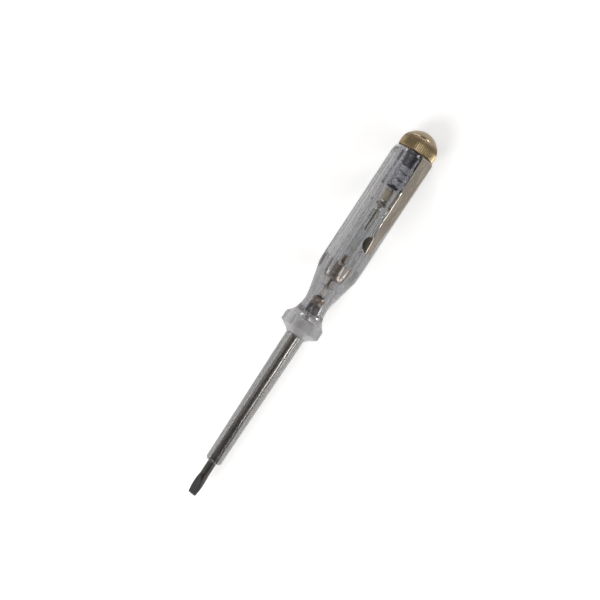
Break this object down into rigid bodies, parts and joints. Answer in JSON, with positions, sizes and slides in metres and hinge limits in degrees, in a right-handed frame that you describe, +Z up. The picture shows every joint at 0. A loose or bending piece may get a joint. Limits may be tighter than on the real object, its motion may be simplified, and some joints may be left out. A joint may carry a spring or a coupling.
{
  "type": "voltage tester screwdriver",
  "caption": "Slotted voltage tester screwdriver: sleeved blade, clear octagonal handle with a glow lamp stack inside, knurled brass cap and spring pocket clip.",
  "frame": {"origin": "centre of the blade's end face", "axes": "+X along the tool's axis from the blade's end to the cap, +Z up with the tool lying on one flat of its handle, the pocket clip on the flat between -Y and +Z"},
  "size_m": [0.14, 0.0141, 0.015],
  "materials": {
    "clear_plastic": "clear, polished, faintly grey",
    "sleeve_plastic": "clear, soft gloss",
    "blade_steel": "darkened hardened steel with a satin grind",
    "dark_metal": "dull dark plating",
    "brass": "turned and knurled, lightly tarnished",
    "black_fibre": "matt pressed fibre",
    "spring_steel": "bright drawn wire",
    "nickel": "nickel plating, smooth, slightly warm",
    "lamp_glass": "clear blown glass",
    "resistor_ceramic": "beige lacquer, softly glossy"
  },
  "bodies": {
    "handle": {"handle_grip": "clear_plastic", "blade_sleeve": "sleeve_plastic", "blade": "blade_steel", "blade_anchor": "dark_metal", "contact_plug": "brass", "contact_washer": "black_fibre", "contact_spring": "spring_steel", "contact_pin": "nickel", "lamp_front_cap": "nickel", "lamp_front_electrode": "spring_steel", "lamp_glass": "lamp_glass", "lamp_rear_electrode": "spring_steel", "lamp_rear_cap": "dark_metal", "resistor_front_cap": "nickel", "resistor_body": "resistor_ceramic", "resistor_rear_cap": "nickel", "spring_seat": "dark_metal", "clip_collar": "nickel"},
    "spring": {"compression_spring": "spring_steel"},
    "cap": {"end_cap": "brass"},
    "clip": {"clip_arm": "nickel"}
  },
  "joints": [
    {"name": "cap_travel", "type": "slide", "parent": "handle", "child": "spring", "axis": [1, 0, 0], "range_m": [0, 0.0042], "deforming": ["compression_spring"]},
    {"name": "cap_turn", "type": "hinge", "parent": "spring", "child": "cap", "pos_m": [0.1322, 0, 0], "axis": [1, 0, 0], "range_deg": [0, 2160]},
    {"name": "clip_flex", "type": "hinge", "parent": "handle", "child": "clip", "pos_m": [0.1306, -0.00521, 0.00521], "axis": [0, 0.7071, 0.7071], "range_deg": [0, 3.5], "stiffness_Nm_per_rad": 0.6}
  ],
  "couplings": [
    {"joint": "cap_turn", "follows": "cap_travel", "rad_per_m": 8976}
  ]
}
